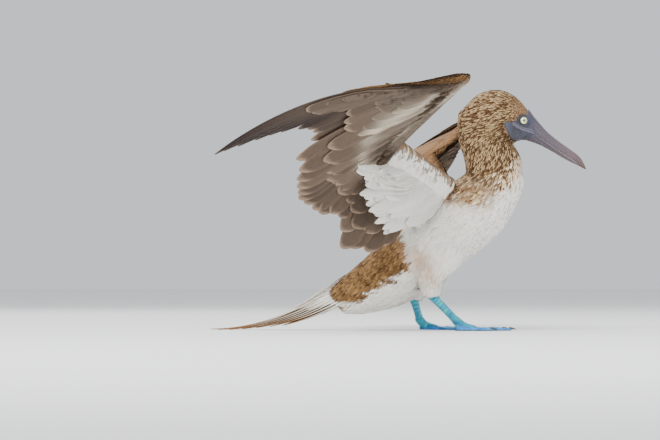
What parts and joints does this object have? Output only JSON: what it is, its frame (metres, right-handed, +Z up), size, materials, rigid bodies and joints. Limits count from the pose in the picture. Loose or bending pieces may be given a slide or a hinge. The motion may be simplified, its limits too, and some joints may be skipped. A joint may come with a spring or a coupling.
{
  "type": "blue-footed booby",
  "caption": "Life-size standing seabird model in a walking pose, with half-raised wings, a dagger bill and webbed feet.",
  "frame": {"origin": "on the floor, under the centre of the bounding box of the whole bird", "axes": "+X is the way the bird faces, +Y is its left side, +Z is up"},
  "size_m": [0.5258, 0.9666, 0.3448],
  "materials": {
    "white_plumage": "soft, matt, fine overlapping feathers",
    "streaked_plumage": "soft, matt, buff tips over brown",
    "flight_feathers": "matt vanes with a faint sheen and pale shafts",
    "axillary_feathers": "soft, matt",
    "tail_feathers": "matt vanes, pale at the base",
    "bill": "satin horn",
    "eye": "wet, clear",
    "leg_skin": "satin scaly skin",
    "web_skin": "satin, finely wrinkled skin"
  },
  "bodies": {
    "root": {"torso": "white_plumage", "neck": "streaked_plumage", "head": "streaked_plumage", "bill_upper": "bill", "bill_lower": "bill", "tail": "tail_feathers", "eye_right": "eye", "thigh_right": "white_plumage", "tarsus_right": "leg_skin", "foot_right": "web_skin", "wing_right_inner": "axillary_feathers", "wing_right_arm": "flight_feathers", "wing_right_hand": "flight_feathers", "eye_left": "eye", "thigh_left": "white_plumage", "tarsus_left": "leg_skin", "foot_left": "web_skin", "wing_left_inner": "axillary_feathers", "wing_left_arm": "flight_feathers", "wing_left_hand": "flight_feathers"}
  },
  "joints": []
}
